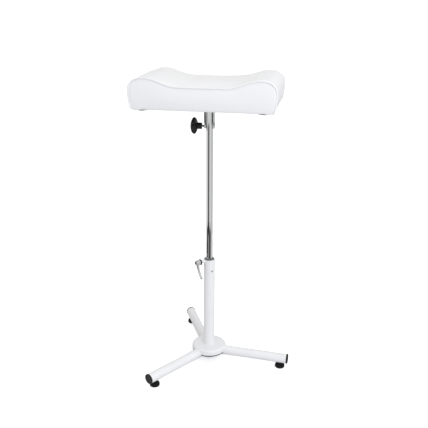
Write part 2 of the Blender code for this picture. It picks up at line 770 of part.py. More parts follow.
def make_board():
    length = CUSHION_WIDTH - 2 * BOARD_MARGIN
    width = CUSHION_DEPTH - 2 * BOARD_MARGIN
    middle = (cushion_base + board_top) / 2 - TILT_Z
    board = flat_outline(
        "seat_board", rounded_rectangle(length, width, BOARD_CORNER), BOARD, tilt_axis, PLYWOOD,
        location=(0, 0, middle),
    )
    lap = 2 * LINING_LAP
    outline = rounded_rectangle(length + lap, width + lap, BOARD_CORNER + LINING_LAP)
    lining = flat_outline(
        "underside_lining", outline, LINING, tilt_axis, LINING_CLOTH,
        location=(0, 0, lining_top - LINING / 2 - TILT_Z),
    )
    return board, lining


make_hub()
make_underplates()
for leg_index in range(LEG_COUNT):
    make_leg(leg_index)
make_column()
make_clamp()
make_post()
tilt_bracket = make_bracket()
make_knob()
make_cushion()
seat_board, underside_lining = make_board()
make_bracket_screws(tilt_bracket, underside_lining, seat_board)
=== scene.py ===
from math import radians

import bmesh
import bpy
import numpy as np
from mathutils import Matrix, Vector


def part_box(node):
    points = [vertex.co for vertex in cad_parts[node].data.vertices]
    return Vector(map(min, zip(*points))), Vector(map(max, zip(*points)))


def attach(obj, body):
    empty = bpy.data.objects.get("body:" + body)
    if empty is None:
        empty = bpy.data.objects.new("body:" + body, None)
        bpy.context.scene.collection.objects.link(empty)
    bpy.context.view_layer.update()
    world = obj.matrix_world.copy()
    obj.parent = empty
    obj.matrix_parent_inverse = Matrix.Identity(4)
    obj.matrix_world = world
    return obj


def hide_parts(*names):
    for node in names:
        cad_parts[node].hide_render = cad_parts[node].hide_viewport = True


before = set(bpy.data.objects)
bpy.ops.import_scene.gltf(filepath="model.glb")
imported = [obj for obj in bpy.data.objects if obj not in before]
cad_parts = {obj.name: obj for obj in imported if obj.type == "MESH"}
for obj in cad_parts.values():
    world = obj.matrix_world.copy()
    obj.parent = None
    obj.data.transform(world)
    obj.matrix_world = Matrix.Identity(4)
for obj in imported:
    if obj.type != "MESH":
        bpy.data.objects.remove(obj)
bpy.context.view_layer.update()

# View, floor and light: the footrest stands on a wide white studio floor in soft, even light.
# The camera looks a little down on it from the front right. Dark cards, which only reflections show, draw
# the streaks in the chrome, and a grey flag on the left takes some of the light from that side.

scene = bpy.context.scene
scene.view_settings.view_transform = "Standard"

lens = bpy.data.cameras.new("camera")
lens.sensor_width = 36.0
lens.lens = 53.58
lens.shift_x = 0.02136
lens.shift_y = 0.02121
camera = bpy.data.objects.new("camera", lens)
camera.location = (0.2945, -1.6592, 1.06)
camera.rotation_euler = (radians(69.53), 0, radians(11.49))
scene.collection.objects.link(camera)
scene.camera = camera


def feed(tree, made, **feeds):
    """Feeds a shader node: a socket is linked to the input of that name, and any other value is set on it."""
    for name, value in feeds.items():
        socket = made.inputs[name.replace("_", " ")]
        if isinstance(value, bpy.types.NodeSocket):
            tree.links.new(value, socket)
        else:
            socket.default_value = value
    return made


def node(tree, kind, **feeds):
    """A new shader node with its feeds."""
    return feed(tree, tree.nodes.new(kind), **feeds)


studio = bpy.data.worlds.new("studio")
studio.use_nodes = True
studio_tree = studio.node_tree
studio_ray = node(studio_tree, "ShaderNodeLightPath").outputs["Is Camera Ray"]
studio_light = node(studio_tree, "ShaderNodeMapRange", Value=studio_ray, To_Min=0.80, To_Max=1.05)
studio_white = studio_tree.nodes["Background"]
feed(studio_tree, studio_white, Color=(1, 1, 1, 1), Strength=studio_light.outputs["Result"])
scene.world = studio


def soft_box(name, place, aim, size, power, colour):
    """A square soft light at a place, turned to face a point."""
    light = bpy.data.lights.new(name, "AREA")
    light.size = size
    light.energy = power
    light.color = colour
    lamp = bpy.data.objects.new(name, light)
    lamp.location = place
    lamp.rotation_euler = (Vector(aim) - Vector(place)).to_track_quat("-Z", "Y").to_euler()
    lamp.visible_glossy = False
    scene.collection.objects.link(lamp)


soft_box("key", (1.3, -2.1, 1.5), (0, 0, 0.7), 1.6, 28.5, (0.925, 0.945, 1))
soft_box("overhead", (0, 0.2, 3.0), (0, 0, 0), 2.5, 8.5, (1, 1, 0.98))
soft_box("side", (2.4, 0.3, 0.75), (0, 0, 0.7), 1.2, 5, (1, 1, 1))


def stage_sheet(name, corners, material, *unseen_by):
    """One flat face of the studio, hidden from the kinds of ray named last."""
    mesh = bpy.data.meshes.new(name)
    mesh.from_pydata(corners, [], [list(range(len(corners)))])
    mesh.materials.append(material)
    sheet = bpy.data.objects.new(name, mesh)
    scene.collection.objects.link(sheet)
    for ray in unseen_by:
        setattr(sheet, f"visible_{ray}", False)


def shaded(name, **feeds):
    """A material with values on its shader's own sockets."""
    material = bpy.data.materials.new(name)
    material.use_nodes = True
    feed(material.node_tree, material.node_tree.nodes["Principled BSDF"], **feeds)
    return material


def mixed(tree, share, first, second):
    """A shader that is the first where the share is nothing and the second where it is one."""
    mix = node(tree, "ShaderNodeMixShader", Fac=share)
    tree.links.new(first, mix.inputs[1])
    tree.links.new(second, mix.inputs[2])
    return mix.outputs["Shader"]


# The floor is white for the camera, dimmer in mirrors and greyer where it throws light back up.
floor_white = shaded(
    "studio_floor", Base_Color=(0.95, 0.95, 0.95, 1), Roughness=0.9, Specular_IOR_Level=0.0,
    Emission_Color=(1, 1, 1, 1), Emission_Strength=0.44,
)
floor_tree = floor_white.node_tree
floor_ray = node(floor_tree, "ShaderNodeLightPath").outputs
floor_bounce = node(floor_tree, "ShaderNodeBsdfDiffuse", Color=(0.62, 0.62, 0.63, 1)).outputs["BSDF"]
floor_glow = node(floor_tree, "ShaderNodeEmission", Strength=0.66).outputs["Emission"]
floor_plain = floor_tree.nodes["Principled BSDF"].outputs["BSDF"]
floor_unseen = mixed(floor_tree, floor_ray["Is Glossy Ray"], floor_bounce, floor_glow)
floor_seen = mixed(floor_tree, floor_ray["Is Camera Ray"], floor_unseen, floor_plain)
feed(floor_tree, floor_tree.nodes["Material Output"], Surface=floor_seen)
far = 80.0
floor_z = -0.0005
floor_corners = [(x, y, floor_z) for x, y in ((-far, -far), (far, -far), (far, far), (-far, far))]
stage_sheet("floor", floor_corners, floor_white)


def card_tone(name, tone):
    """A card's even tone, which doesn't depend on the light on it."""
    glow = (tone, tone, tone, 1)
    return shaded(
        name, Base_Color=(0, 0, 0, 1), Specular_IOR_Level=0.0, Emission_Color=glow, Emission_Strength=1.0
    )


card_black = card_tone("black_card", 0.012)
card_dim = card_tone("dim_card", 0.24)
card_grey = card_tone("grey_card", 0.50)
column_low, column_high = np.array(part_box("column_tube"))
axis_x, axis_y = (column_low + column_high)[:2] / 2


def joined(*parts):
    """Coordinates joined into points; one number stands for all points."""
    return np.stack(np.broadcast_arrays(*parts), axis=-1)


def card_corners(near, beyond, turn, spread, low, high):
    """Four corners of a card seen from the post: from the near distance to the far one, turned from the front
    towards the right, spread to both sides, and rising from one height to the other."""
    turns = np.radians([turn - spread, turn + spread, turn + spread, turn - spread])
    reach = np.array([near, near, beyond, beyond])
    x = axis_x + reach * np.sin(turns)
    y = axis_y - reach * np.cos(turns)
    return joined(x, y, (low, low, high, high)).tolist()


flat = 0.004
for number, (tone, *sizes) in enumerate((
    (card_black, 0.80, 0.80, -20, 20, 0.10, 0.56),
    (card_black, 0.80, 0.80, 160, 20, 0.10, 0.56),
    (card_grey, 0.90, 0.90, 85, 14, 0.02, 1.30),
    (card_grey, 0.90, 0.90, 265, 10, 0.02, 1.30),
    (card_black, 0.62, 1.22, -72, 26, flat, flat),
    (card_black, 0.62, 1.18, 34, 26, flat, flat),
    (card_dim, 0.62, 1.18, -19, 27, flat, flat),
    (card_black, 0.62, 1.20, 165, 40, flat, flat),
), 1):
    stage_sheet(f"card_{number}", card_corners(*sizes), tone, "camera", "diffuse", "shadow", "transmission")
flag_corners = card_corners(0.90, 0.90, 262, 34, 0.60, 1.30)
stage_sheet("flag", flag_corners, card_grey, "camera", "glossy", "shadow", "transmission")

# Hub: a cast steel boss that the column stands in and the three legs are welded to, powder coated white with
# the column and the legs. A wide rounded rim over a narrower core, bored for the column and for its bolt.

hub_low, hub_high = np.array(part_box("hub"))
hub_rim = 0.0505
hub_core = 0.031
hub_rim_low = 0.030
hub_rounding = 0.007
fit_gap = 0.0003
column_radius = (column_high - column_low)[0] / 2
hub_seat = column_radius + fit_gap
seat_floor = column_low[2] - fit_gap
bolt_hole = 0.0043


def sum_of(tree, first, share, second=0.0):
    """A number node: the first value times its share, plus the second."""
    made = tree.nodes.new("ShaderNodeMath")
    made.operation = "MULTIPLY_ADD"
    tree.links.new(first, made.inputs[0])
    made.inputs[1].default_value = share
    if isinstance(second, bpy.types.NodeSocket):
        tree.links.new(second, made.inputs[2])
    else:
        made.inputs[2].default_value = second
    return made.outputs["Value"]


def new_grain(name):
    """An empty group for a surface's grain: place, stretch and scale go in, tone and height come out."""
    group = bpy.data.node_groups.new(name, "ShaderNodeTree")
    for socket, way, kind in (
        ("Place", "INPUT", "Vector"), ("Stretch", "INPUT", "Vector"), ("Scale", "INPUT", "Float"),
        ("Tone", "OUTPUT", "Float"), ("Height", "OUTPUT", "Float"),
    ):
        group.interface.new_socket(socket, in_out=way, socket_type=f"NodeSocket{kind}")
    entry = group.nodes.new("NodeGroupInput")
    leave = group.nodes.new("NodeGroupOutput")
    stretched = group.nodes.new("ShaderNodeVectorMath")
    stretched.operation = "MULTIPLY"
    group.links.new(entry.outputs["Place"], stretched.inputs[0])
    group.links.new(entry.outputs["Stretch"], stretched.inputs[1])
    return group, stretched.outputs["Vector"], entry.outputs["Scale"], leave


def noise(tree, place, scale, **feeds):
    """The value of a noise texture."""
    return node(tree, "ShaderNodeTexNoise", Vector=place, Scale=scale, **feeds).outputs["Fac"]


def spread_tone(tree, value):
    """The middle of a noise's range, spread from nothing to one."""
    return node(tree, "ShaderNodeMapRange", Value=value, From_Min=0.3, From_Max=0.7).outputs["Result"]


# Orange peel of a coat or a moulding: low round waves with a finer speckle, and broad patches of tone.
peel, peel_place, peel_scale, peel_out = new_grain("orange_peel")
peel_wave = noise(peel, peel_place, peel_scale, Detail=2.0, Roughness=0.45)
peel_fine = noise(peel, peel_place, sum_of(peel, peel_scale, 3.5), Detail=1.0)
peel_broad = noise(peel, peel_place, sum_of(peel, peel_scale, 0.02, 4.0), Detail=3.0)
feed(peel, peel_out, Tone=spread_tone(peel, peel_broad), Height=sum_of(peel, peel_fine, 0.25, peel_wave))


def finish(name, grain, scale, colours, roughness, relief, stretch=(1, 1, 1), **plain):
    """A material whose grain runs from one colour and roughness to another and raises the surface by its
    relief in metres; the plain values are set on the shader's own sockets."""
    material = shaded(name, **plain)
    tree = material.node_tree
    place = node(tree, "ShaderNodeTexCoord").outputs["Object"]
    pattern = tree.nodes.new("ShaderNodeGroup")
    pattern.node_tree = grain
    feed(tree, pattern, Place=place, Stretch=stretch, Scale=scale)
    tone = pattern.outputs["Tone"]
    colour = node(tree, "ShaderNodeValToRGB", Fac=tone)
    for stop, value in zip(colour.color_ramp.elements, colours):
        stop.color = (*value, 1)
    smooth, rough = roughness
    dull = node(tree, "ShaderNodeMapRange", Value=tone, To_Min=smooth, To_Max=rough)
    bump = node(tree, "ShaderNodeBump", Height=pattern.outputs["Height"], Distance=relief)
    feed(
        tree, tree.nodes["Principled BSDF"], Base_Color=colour.outputs["Color"],
        Roughness=dull.outputs["Result"], Normal=bump.outputs["Normal"],
    )
    return material


white_coat = finish(
    "white_powder_coat", peel, 750.0, ((0.815, 0.815, 0.825), (0.84, 0.84, 0.848)), (0.36, 0.44), 0.00004,
    Coat_Weight=0.10, Coat_Roughness=0.25,
)


def eased(corners, rounding, steps=6):
    """A profile with round corners: each corner becomes a curve from a point before it to a point after it,
    level with both sides, and one more point is kept on either side so that the flats stay flat."""
    corner = np.asarray(corners, float)
    sides = [np.roll(corner, way, axis=0) - corner for way in (1, -1)]
    rooms = [np.linalg.norm(side, axis=1, keepdims=True) for side in sides]
    ways = [side / np.maximum(room, 1e-9) for side, room in zip(sides, rooms)]
    ease = np.broadcast_to(np.asarray(rounding, float), len(corner))[:, None]
    ease = np.minimum(ease, 0.45 * np.minimum(*rooms))
    flats = [np.minimum(2 * ease, 0.48 * room - ease) * way * (ease > 0) for room, way in zip(rooms, ways)]
    start, end = (corner + ease * way for way in ways)
    lead = start + flats[0]
    tail = end + flats[1]
    share = np.linspace(0, 1, steps)[None, :, None]
    rest = 1 - share
    curve = rest**2 * start[:, None] + 2 * share * rest * corner[:, None] + share**2 * end[:, None]
    return np.concatenate([lead[:, None], curve, tail[:, None]], axis=1).reshape(-1, 2)


def looped(profile):
    """A profile that comes back to its first point."""
    return np.concatenate([profile, profile[:1]])


def about(foot, axis, height, radius, angle):
    """Points at a height along an axis from its foot, and at a radius and an angle round it."""
    along = np.asarray(axis, float) / np.linalg.norm(axis)
    side = np.cross(along, (0, 0, 1) if abs(along[2]) < 0.9 else (0, -1, 0))
    side = side / np.linalg.norm(side)
    other = np.cross(along, side)
    x = (radius * np.cos(angle))[..., None]
    y = (radius * np.sin(angle))[..., None]
    return np.asarray(foot, float) + height[..., None] * along + x * side + y * other


def turned(profile, foot, axis=(0, 0, 1), steps=96, lobes=None):
    """A profile turned about an axis: a point of radius r and height h goes to the foot, plus h along the
    axis, plus r round it at every angle. Lobes, where given, scale r by profile point and angle."""
    radius, height = np.asarray(profile, float).T[:, :, None]
    angle = np.linspace(0, 2 * np.pi, steps + 1)[None, :]
    if lobes is not None:
        radius = radius * lobes(radius, angle)
    return about(foot, axis, height, radius, angle)


together = 0.000001
sharp_edge = radians(40)


def skin(name, *grids):
    """A smooth mesh over grids of points, each cell of four neighbours one face. Points that fall together,
    at poles and where a grid comes round to its start, are merged, and the faces are turned outwards."""
    mesh = bpy.data.meshes.new(name)
    faces = []
    first = 0
    for grid in grids:
        index = first + np.arange(grid.shape[0] * grid.shape[1]).reshape(grid.shape[:2])
        cells = joined(index[:-1, :-1], index[:-1, 1:], index[1:, 1:], index[1:, :-1])
        faces.append(cells.reshape(-1, 4))
        first += index.size
    points = np.concatenate([grid.reshape(-1, 3) for grid in grids])
    mesh.from_pydata(points.tolist(), [], np.concatenate(faces).tolist())
    build = bmesh.new()
    build.from_mesh(mesh)
    bmesh.ops.remove_doubles(build, verts=build.verts, dist=together)
    bmesh.ops.recalc_face_normals(build, faces=build.faces)
    build.to_mesh(mesh)
    build.free()
    mesh.shade_smooth()
    mesh.set_sharp_from_angle(angle=sharp_edge)
    return mesh


def piece(name, shape, material, body, slot, *nodes):
    """An object of the footrest: a mesh or a list of grids to skin, its material, the body it moves with, its
    slot, which is not used, and the solids it stands for."""
    mesh = skin(name, *shape) if isinstance(shape, list) else shape
    mesh.materials.append(material)
    thing = bpy.data.objects.new(name, mesh)
    scene.collection.objects.link(thing)
    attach(thing, body)
    if nodes:
        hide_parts(*nodes)
    return thing


floor_spot = np.array([axis_x, axis_y, 0.0])
hub_profile = eased(
    [(hub_seat, hub_high[2]), (hub_rim, hub_high[2]), (hub_rim, hub_rim_low), (hub_core, hub_rim_low),
     (hub_core, hub_low[2]), (bolt_hole, hub_low[2]), (bolt_hole, seat_floor), (hub_seat, seat_floor)],
    [0.0003, 1.6 * hub_rounding, 0.0012, 0.0015, 0.002, 0.0005, 0.0003, 0.0003], steps=10,
)
hub_grid = turned(looped(hub_profile), floor_spot, steps=128)
piece("hub_body", [hub_grid], white_coat, "base", "white_paint", "hub")

# Underplates: black plastic plates that close the hub's underside between the legs, pressed in from below.
# Their edge shows as a dark line under the rim. They are plain mouldings, with a fine eroded surface.

moulded_black = finish(
    "moulded_black_plastic", peel, 1900.0, ((0.006, 0.0062, 0.0067), (0.012, 0.0123, 0.0130)), (0.38, 0.52),
    0.00005, Specular_IOR_Level=0.40,
)


def coat(material, *solids):
    """A finish on solids that keep their own shape."""
    for solid in solids:
        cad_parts[solid].material_slots[0].material = material


coat(moulded_black, "hub_underplate_1", "hub_underplate_2", "hub_underplate_3")

# Legs: three drawn steel tubes a third of a turn apart, plugged into the hub, welded all along the rim and
# coated with it. The bead follows the line where the tube leaves the rim and shows the welder's ripples.

leg_turns = np.radians([236, 356, 116])
leg_radius = 0.014
leg_bore = 0.0125
leg_axis_z = 0.029
leg_inner = 0.0223
leg_outer = 0.2357
leg_edge = 0.0004
bead = 0.0016
bead_ripple = 0.0022
bead_scallop = 0.16


def level_way(turn):
    """A level direction, turned from the right towards the back."""
    return np.array([np.cos(turn), np.sin(turn), 0])


def swept(path, radius, up, steps=20, closed=False):
    """A ring carried along a path, square to its direction at each point and with the radius given there."""
    path = np.asarray(path, float)
    if closed:
        heading = np.roll(path, -1, axis=0) - np.roll(path, 1, axis=0)
    else:
        heading = np.gradient(path, axis=0)
    heading = heading / np.linalg.norm(heading, axis=1, keepdims=True)
    side = np.cross(heading, up)
    side = side / np.linalg.norm(side, axis=1, keepdims=True)
    rise = np.cross(side, heading)
    angle = np.linspace(0, 2 * np.pi, steps + 1)[None, :, None]
    size = np.broadcast_to(np.asarray(radius, float), len(path))[:, None, None]
    rings = path[:, None] + size * (np.cos(angle) * side[:, None] + np.sin(angle) * rise[:, None])
    return np.concatenate([rings, rings[:1]]) if closed else rings


def weld_path(turn):
    """The line where a leg leaves the rim: round the tube's upper half, at the distance where the rim has the
    same height, the rim drawn in by its rounding near the top."""
    round_leg = np.linspace(radians(3), radians(177), 90)
    across = leg_radius * np.cos(round_leg)
    height = leg_axis_z + leg_radius * np.sin(round_leg)
    over = np.clip(height - (hub_high[2] - hub_rounding), 0, hub_rounding)
    rim = hub_rim - hub_rounding + np.sqrt(hub_rounding**2 - over**2)
    reach = np.sqrt(rim**2 - across**2)
    x = axis_x + reach * np.cos(turn) - across * np.sin(turn)
    y = axis_y + reach * np.sin(turn) + across * np.cos(turn)
    return joined(x, y, height)


def rippled(length, count):
    """Radius of a bead along its length: small overlapping scallops, run out to nothing at both ends."""
    place = np.linspace(0, length, count)
    scallop = 1 - bead_scallop * (place / bead_ripple % 1.0)
    fade = np.clip(np.minimum(place, length - place) / bead, 0, 1)
    return bead * scallop * np.sqrt(fade)


def tube(outer, bore, low, high, rounding, foot, axis=(0, 0, 1), steps=96):
    """A tube or a ring about an axis, from a low place along it to a high one, with four rounded edges."""
    profile = eased([(outer, high), (outer, low), (bore, low), (bore, high)], rounding)
    return turned(looped(profile), foot, axis, steps)


leg_spot = floor_spot + (0, 0, leg_axis_z)
for number, turn in enumerate(leg_turns, 1):
    way = level_way(turn)
    leg_grid = tube(leg_radius, leg_bore, leg_inner, leg_outer, leg_edge, leg_spot, way)
    piece(f"leg_tube_{number}", [leg_grid], white_coat, "base", "white_paint", f"leg_{number}")
    seam = weld_path(turn)
    bead_grid = swept(seam, rippled(np.pi * leg_radius, len(seam)), way, steps=12)
    piece(f"leg_weld_{number}", [bead_grid], white_coat, "base", "white_paint")

# Leg caps: moulded black plugs pushed into the tubes' ends. A rounded lip covers the tube's edge, and the
# face has a shallow dish inside a narrow ring.

leg_reach = 0.240
cap_lip = 0.0146
cap_plug = 0.0122
cap_dish = 0.0098
cap_ring = 0.0106
cap_dish_z = leg_reach - 0.0008
cap_lip_z = leg_reach - 0.004
cap_plug_z = leg_reach - 0.016
cap_profile = eased(
    [(0, cap_dish_z), (cap_dish, cap_dish_z), (cap_ring, leg_reach), (cap_lip, leg_reach),
     (cap_lip, cap_lip_z), (cap_plug, cap_lip_z), (cap_plug, cap_plug_z), (0, cap_plug_z)],
    [0, 0.0006, 0.0006, 0.0022, 0.0004, 0.0003, 0.0008, 0],
)
for number, turn in enumerate(leg_turns, 1):
    cap_grid = turned(cap_profile, leg_spot, level_way(turn))
    piece(f"end_cap_{number}", [cap_grid], moulded_black, "base", "black_plastic", f"leg_cap_{number}")

# Feet: black rubber discs with a neck under the tube and a barbed stem pushed into a hole in it.
# The disc's edge is round above and below, and the face on the floor is flat.

black_rubber = finish(
    "black_rubber", peel, 1300.0, ((0.005, 0.005, 0.005), (0.011, 0.011, 0.011)), (0.62, 0.82), 0.00008,
    Specular_IOR_Level=0.25,
)
foot_radius = 0.217
foot_pad = 0.014
foot_neck = 0.0075
foot_disc = 0.009
foot_neck_top = 0.0170
foot_profile = eased(
    [(0, foot_neck_top), (foot_neck, foot_neck_top), (foot_neck, foot_disc), (foot_pad, foot_disc),
     (foot_pad, 0), (0, 0)],
    [0, 0.0005, 0.0022, 0.0034, 0.0018, 0],
)
for number, turn in enumerate(leg_turns, 1):
    foot_grid = turned(foot_profile, floor_spot + foot_radius * level_way(turn))
    piece(f"disc_foot_{number}", [foot_grid], black_rubber, "base", "rubber", f"foot_{number}")

# Column: a drawn steel tube in the hub's socket, coated white, with a soft fillet of coat where it enters the
# hub. Inside its foot a threaded steel plug, a washer and a bolt from below hold it down.

column_bore = column_radius - 0.002
column_edge = 0.0005
column_grid = tube(column_radius, column_bore, column_low[2], column_high[2], column_edge, floor_spot)
piece("column", [column_grid], white_coat, "base", "white_paint", "column_tube")

lift_off = 0.0002
fillet_size = 0.0013
fillet_wave = 0.00012
fillet_turn = np.linspace(0, 2 * np.pi, 120, endpoint=False)
fillet_x = axis_x + hub_seat * np.cos(fillet_turn)
fillet_y = axis_y + hub_seat * np.sin(fillet_turn)
fillet_path = joined(fillet_x, fillet_y, hub_high[2] + lift_off)
fillet_radius = fillet_size + fillet_wave * np.cos(40 * fillet_turn)
fillet = swept(fillet_path, fillet_radius, (0, 0, 1), steps=14, closed=True)
piece("column_fillet", [fillet], white_coat, "base", "white_paint")

# Hairlines of rolled, ground or polished metal: long fine scratches one way, and soft bands of tone.
hairline, hair_place, hair_scale, hair_out = new_grain("hairline")
hair_fine = noise(hairline, hair_place, hair_scale, Detail=4.0, Roughness=0.65)
hair_wide = noise(hairline, hair_place, sum_of(hairline, hair_scale, 0.15), Detail=2.0)
hair_both = sum_of(hairline, hair_fine, 0.5, sum_of(hairline, hair_wide, 0.5))
feed(hairline, hair_out, Tone=spread_tone(hairline, hair_both), Height=hair_fine)

zinc_steel = finish(
    "zinc_plated_steel", hairline, 500.0, ((0.50, 0.51, 0.53), (0.66, 0.67, 0.69)), (0.24, 0.40), 0.000015,
    (1, 1, 0.15), Metallic=1.0,
)
coat(zinc_steel, "column_foot_plug", "column_washer", "column_bolt")

# Bush: a turned dark grey plastic sleeve in the column's mouth that guides the post, its narrow flange on the
# rim. A small pan-head screw through the tube's wall holds it.

dark_grey = finish(
    "dark_grey_plastic", hairline, 900.0, ((0.16, 0.162, 0.166), (0.22, 0.222, 0.228)), (0.42, 0.58), 0.00003,
    (0.2, 0.2, 1),
)
bush_low, bush_high = np.array(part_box("column_bush"))
bush_flange = (bush_high - bush_low)[0] / 2
bush_flange_z = column_high[2] + lift_off
bush_sleeve = column_bore - fit_gap
bush_bore = 0.0093
bush_profile = eased(
    [(bush_bore, bush_high[2]), (bush_flange, bush_high[2]), (bush_flange, bush_flange_z),
     (bush_sleeve, bush_flange_z), (bush_sleeve, bush_low[2]), (bush_bore, bush_low[2])],
    [0.0006, 0.0006, 0.0002, 0.0002, 0.0006, 0.0006],
)
bush_grid = turned(looped(bush_profile), floor_spot)
piece("guide_bush", [bush_grid], dark_grey, "base", "grey_plastic", "column_bush")


def pan_head(radius, rise, foot, axis, shank, length):
    """A screw in two grids: a low dome over a polar grid, sunk by a cross wherever a point lies inside one of
    two crossed bars, with the head's wall, then its underside and the plain shank below."""
    dome = np.linspace(0, 0.97, 26)
    reach = radius * np.concatenate([dome, [1.0, 1.0, 1.0]])[:, None]
    drop = np.concatenate([0.35 * dome**2, [0.42, 0.62, 1.0]])[:, None]
    angle = np.linspace(0, 2 * np.pi, 97)[None, :]
    x = reach * np.cos(angle)
    y = reach * np.sin(angle)
    bar = 0.16 * radius
    arm = 0.62 * radius
    soft = 0.10 * radius
    first = np.clip((bar - abs(x)) / soft, 0, 1) * np.clip((arm - abs(y)) / soft, 0, 1)
    second = np.clip((bar - abs(y)) / soft, 0, 1) * np.clip((arm - abs(x)) / soft, 0, 1)
    height = rise * (1 - drop) - 0.55 * rise * np.maximum(first, second)
    stem = turned([(radius, 0), (shank, 0), (shank, -length), (0, -length)], foot, axis)
    return [about(foot, axis, height, reach, angle), stem]


screw_turn = radians(311)
screw_way = level_way(screw_turn)
screw_z = 0.289
screw_head = 0.0026
screw_rise = 0.0013
screw_spot = floor_spot + (column_radius + lift_off) * screw_way + (0, 0, screw_z)
bush_screw = pan_head(screw_head, screw_rise, screw_spot, screw_way, shank=0.00175, length=0.006)
piece("bush_holding_screw", bush_screw, zinc_steel, "base", "zinc_steel", "bush_screw")

# Clamp boss: a short threaded tube welded to the column below its rim, coated white with it. The clamp's
# screw runs through it to a brass pad that presses on the post, and a black plastic washer sits outside.

clamp_turn = radians(222)
clamp_z = 0.3185
clamp_way = level_way(clamp_turn)
clamp_side = np.array([-clamp_way[1], clamp_way[0], 0])
clamp_spot = floor_spot + (0, 0, clamp_z)
boss_radius = 0.005
boss_from = 0.0148
boss_to = 0.0282
screw_bore = 0.0028
boss_edges = [0.0006, 0, 0, 0.0004]
boss_grid = tube(boss_radius, screw_bore, boss_from, boss_to, boss_edges, clamp_spot, clamp_way)
piece("threaded_boss", [boss_grid], white_coat, "base", "white_paint", "clamp_boss")

boss_bead = 0.0009
boss_bead_wave = 0.00008
boss_seam = np.linspace(0, 2 * np.pi, 72, endpoint=False)
seam_across = boss_radius * np.cos(boss_seam)
seam_reach = np.sqrt(column_radius**2 - seam_across**2) + lift_off
boss_path = (
    clamp_spot + seam_reach[:, None] * clamp_way + seam_across[:, None] * clamp_side
    + (boss_radius * np.sin(boss_seam))[:, None] * np.array([0, 0, 1])
)
boss_weld_radius = boss_bead + boss_bead_wave * np.cos(12 * boss_seam)
boss_weld = swept(boss_path, boss_weld_radius, clamp_way, steps=12, closed=True)
piece("boss_weld", [boss_weld], white_coat, "base", "white_paint")

coat(zinc_steel, "clamp_screw")
turned_brass = finish(
    "turned_brass", hairline, 700.0, ((0.60, 0.44, 0.19), (0.74, 0.58, 0.30)), (0.22, 0.36), 0.00002,
    (0.3, 0.3, 1), Metallic=1.0,
)
coat(turned_brass, "clamp_pad")
clamp_rim = 0.009
washer_from = 0.0285
washer_to = 0.0310
clamp_edges = [0.0008, 0.0008, 0.0003, 0.0003]
clamp_washer = tube(clamp_rim, screw_bore, washer_from, washer_to, clamp_edges, clamp_spot, clamp_way)
piece("black_washer", [clamp_washer], moulded_black, "lever", "black_plastic", "clamp_washer")

# Clamp lever: a zinc casting with a satin chrome plate, its stepped barrel on the clamp's screw and a slim
# bowed arm that swells into a round end. A black socket screw sunk in the barrel's end holds it.

satin_chrome = finish(
    "satin_chrome", peel, 520.0, ((0.76, 0.765, 0.77), (0.84, 0.845, 0.85)), (0.24, 0.34), 0.00001,
    Metallic=1.0,
)
barrel_from = 0.0313
barrel_to = 0.0453
barrel_nose = 0.0064
barrel_foot = 0.0076
barrel_belly = 0.00825
socket = 0.0043
socket_floor = barrel_to - 0.0020
barrel_profile = eased(
    [(0, socket_floor), (socket, socket_floor), (socket, barrel_to), (barrel_nose, barrel_to),
     (0.0072, barrel_to - 0.0048), (0.0079, barrel_to - 0.0058), (barrel_belly, barrel_from + 0.0030),
     (barrel_foot, barrel_from + 0.0022), (barrel_foot, barrel_from), (0, barrel_from)],
    [0, 0.0003, 0.0004, 0.0012, 0.0006, 0.0009, 0.0009, 0.0006, 0.0008, 0],
)
arm_lean = radians(30)
arm_length = 0.0459
arm_bow = 0.0038
arm_root_inset = 0.0059
arm_ball = 0.0040
arm_slim = 0.0036
arm_root_swell = 0.0018
arm_root_share = 0.45
ball_from = 0.93
ball_share = 0.145
arm_way = np.sin(arm_lean) * clamp_side + np.array([0, 0, -np.cos(arm_lean)])
bow_way = -np.cos(arm_lean) * clamp_side + np.array([0, 0, -np.sin(arm_lean)])
arm_tip = ball_from + ball_share * np.sin(np.linspace(0, np.pi / 2, 14)[1:])
arm_share = np.concatenate([np.linspace(0, ball_from, 40), arm_tip])
arm_path = (
    clamp_spot + (barrel_to - arm_root_inset) * clamp_way + (arm_length * arm_share)[:, None] * arm_way
    + (arm_bow * np.sin(np.pi * np.minimum(arm_share, 1)))[:, None] * bow_way
)
ball_place = (arm_share - 1.0) * arm_length
ball_radius = np.sqrt(np.clip(arm_ball**2 - ball_place**2, 0, None))
arm_stem = arm_slim + arm_root_swell * np.clip(1 - arm_share / arm_root_share, 0, 1) ** 1.5
arm_radius = np.maximum(np.where(ball_place < 0, arm_stem, 0), ball_radius)
arm_radius[[0, -1]] = 0
barrel = turned(barrel_profile, clamp_spot, clamp_way)
arm = swept(arm_path, arm_radius, clamp_way, steps=28)
piece("chrome_lever", [barrel, arm], satin_chrome, "lever", "chrome", "clamp_lever")

black_oxide = finish(
    "black_oxide_steel", hairline, 800.0, ((0.030, 0.031, 0.034), (0.055, 0.056, 0.060)), (0.30, 0.45),
    0.00001, Metallic=0.6,
)
key_hole = 0.0016
key_floor = barrel_to - 0.0018
end_screw = 0.0040
end_screw_z = barrel_to - 0.0019
end_screw_profile = eased(
    [(0, key_floor), (key_hole, key_floor), (key_hole, barrel_to - 0.0003), (end_screw, barrel_to - 0.0006),
     (end_screw, end_screw_z), (0, end_screw_z)],
    [0, 0.0001, 0.0003, 0.0006, 0.0001, 0],
)
piece("lever_screw", [turned(end_screw_profile, clamp_spot, clamp_way)], black_oxide, "lever", "zinc_steel")

# Post: a polished chromed steel tube that slides and turns in the bush. A nylon ring on a steel plug closes
# its foot inside the column and stops it under the bush, and a plastic cap closes its top in the bracket.

